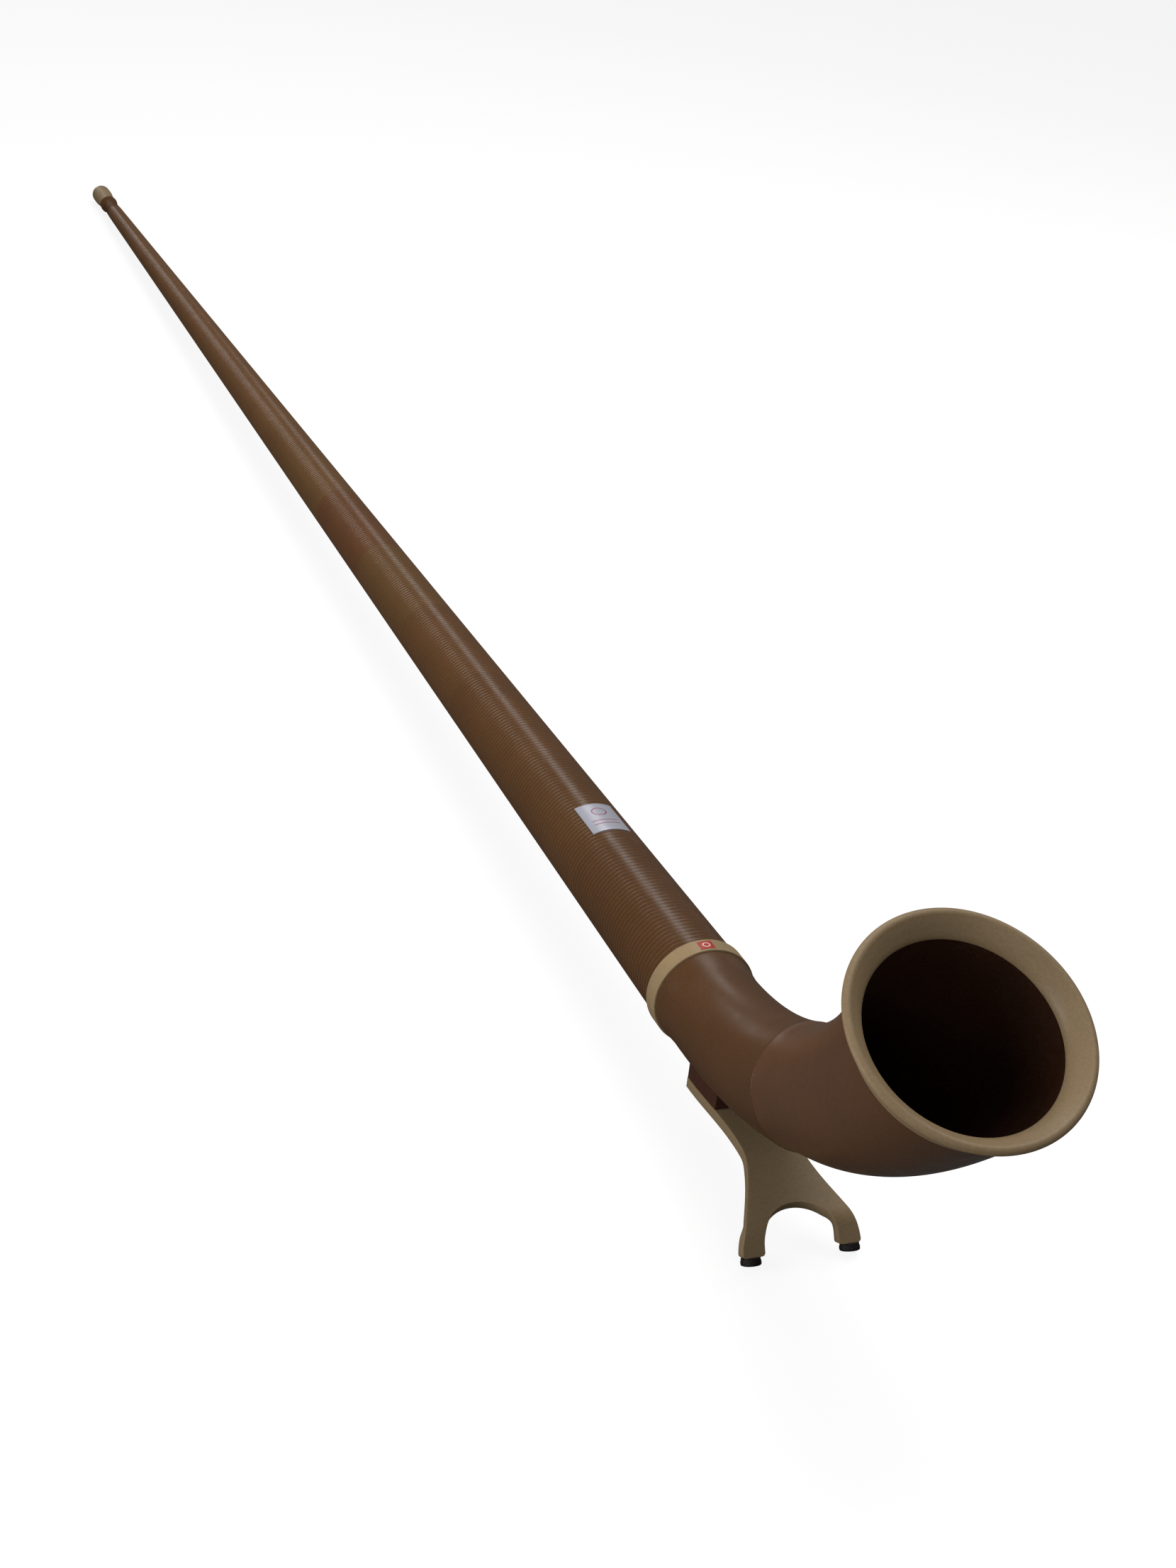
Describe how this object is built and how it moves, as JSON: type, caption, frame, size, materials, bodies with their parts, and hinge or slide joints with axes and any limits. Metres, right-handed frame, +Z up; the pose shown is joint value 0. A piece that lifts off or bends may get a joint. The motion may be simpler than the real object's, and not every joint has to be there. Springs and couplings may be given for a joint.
{
  "type": "alphorn",
  "caption": "Long ringed conical horn in plug-together sections, with an upturned flared bell, a pale rim and collar, a mouthpiece and a two-legged stand.",
  "frame": {"origin": "on the floor, under the middle of the horn's length", "axes": "+X runs from the mouthpiece to the bell, +Z is up, and the horn mirrors about the XZ plane"},
  "size_m": [3.622, 0.2, 0.4014],
  "materials": {
    "ringed_tube": "satin brown, with fine moulded rings",
    "smooth_shell": "smooth semi-gloss dark brown",
    "pale_trim": "satin beige",
    "screw_steel": "zinc-plated",
    "foot_rubber": "matt"
  },
  "bodies": {
    "bell_assembly": {"bend": "smooth_shell", "bell": "smooth_shell", "bell_rim": "pale_trim", "coupling_ring": "pale_trim", "saddle_block": "smooth_shell", "stand_board": "pale_trim", "stand_screw_1": "screw_steel", "stand_screw_2": "screw_steel", "stand_screw_3": "screw_steel", "stand_screw_4": "screw_steel", "foot_left": "foot_rubber", "foot_right": "foot_rubber"},
    "lower_tube": {"tube_section_09": "ringed_tube", "tube_section_10": "ringed_tube", "tube_section_11": "ringed_tube", "tube_section_12": "ringed_tube", "tube_section_13": "ringed_tube", "tube_section_14": "ringed_tube"},
    "upper_tube": {"tube_section_01": "ringed_tube", "tube_section_02": "ringed_tube", "tube_section_03": "ringed_tube", "tube_section_04": "ringed_tube", "tube_section_05": "ringed_tube", "tube_section_06": "ringed_tube", "tube_section_07": "ringed_tube", "tube_section_08": "ringed_tube", "mouth_receiver": "smooth_shell"},
    "mouthpiece": {"mouthpiece": "pale_trim"}
  },
  "joints": [
    {"name": "lower_plug", "type": "slide", "parent": "bell_assembly", "child": "lower_tube", "axis": [-0.9996, 0, -0.0288], "range_m": [0, 0.034]},
    {"name": "upper_plug", "type": "slide", "parent": "lower_tube", "child": "upper_tube", "axis": [-0.9996, 0, -0.0288], "range_m": [0, 0.045]},
    {"name": "mouthpiece_slide", "type": "slide", "parent": "upper_tube", "child": "mouthpiece", "axis": [-0.9996, 0, -0.0288], "range_m": [0, 0.032]}
  ]
}
